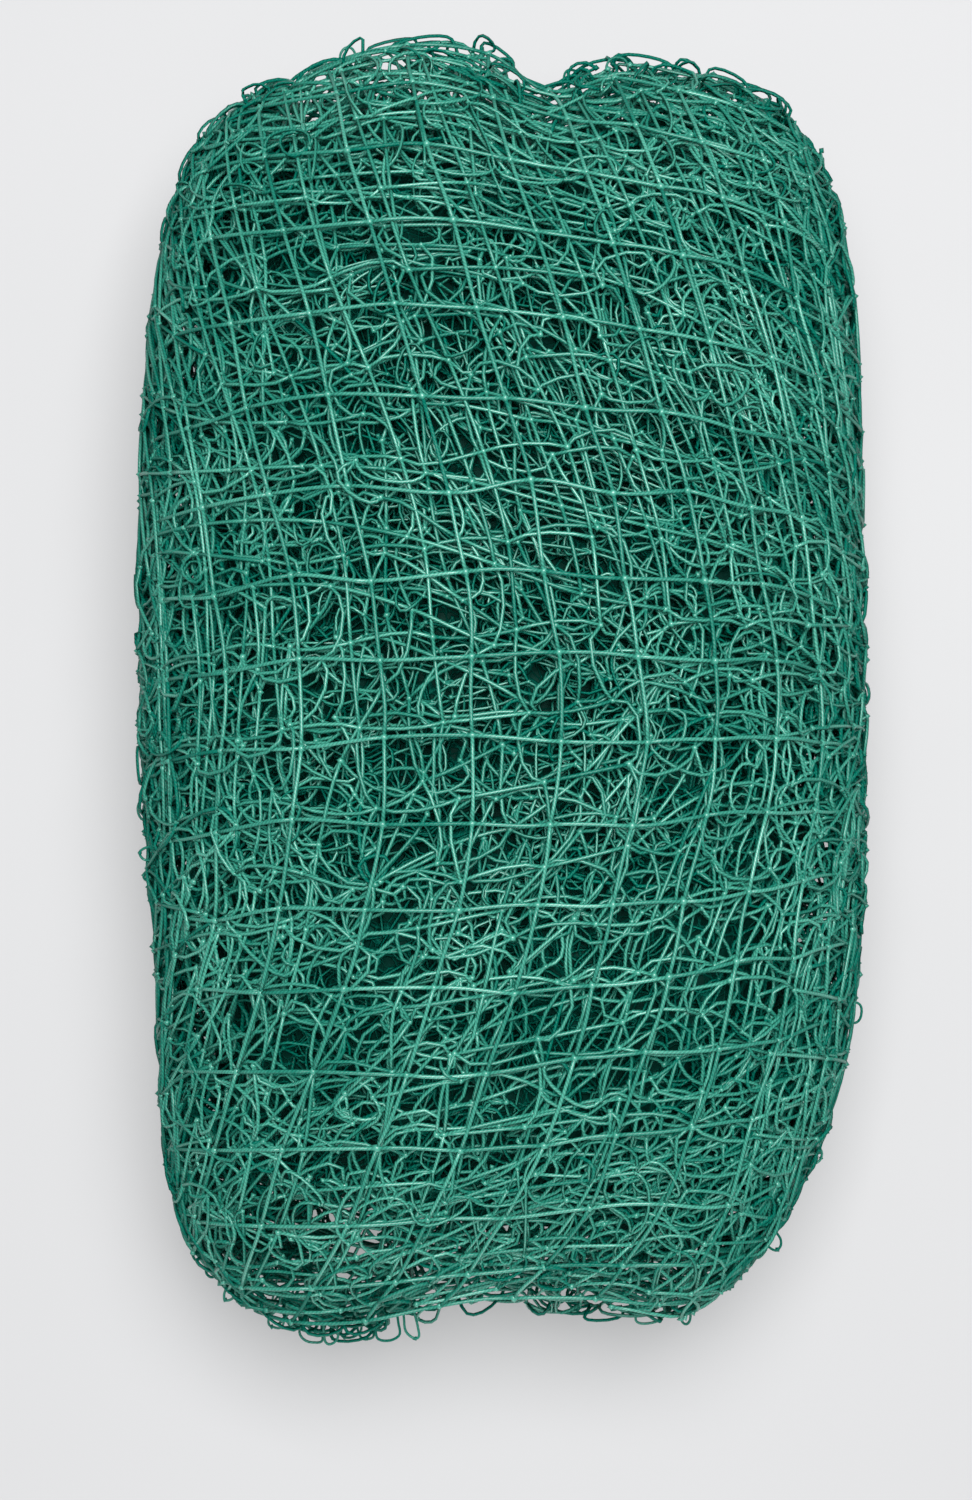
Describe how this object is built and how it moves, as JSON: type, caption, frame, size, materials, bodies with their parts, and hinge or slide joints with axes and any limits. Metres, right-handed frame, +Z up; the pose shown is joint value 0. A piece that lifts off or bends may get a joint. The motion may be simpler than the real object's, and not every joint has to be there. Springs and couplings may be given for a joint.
{
  "type": "cricket practice net",
  "caption": "Knotted green square-mesh practice net, folded back and forth into a soft oblong bundle and wrapped in its own last turn.",
  "frame": {"origin": "on the floor under the middle of the bundle", "axes": "+Z up from the floor, +Y along the bundle towards its back end, +X across it to the right"},
  "size_m": [0.4192, 0.7534, 0.2668],
  "materials": {
    "netting": "twisted green twine, slightly glossy"
  },
  "bodies": {
    "root": {"net_bundle": "netting"}
  },
  "joints": []
}
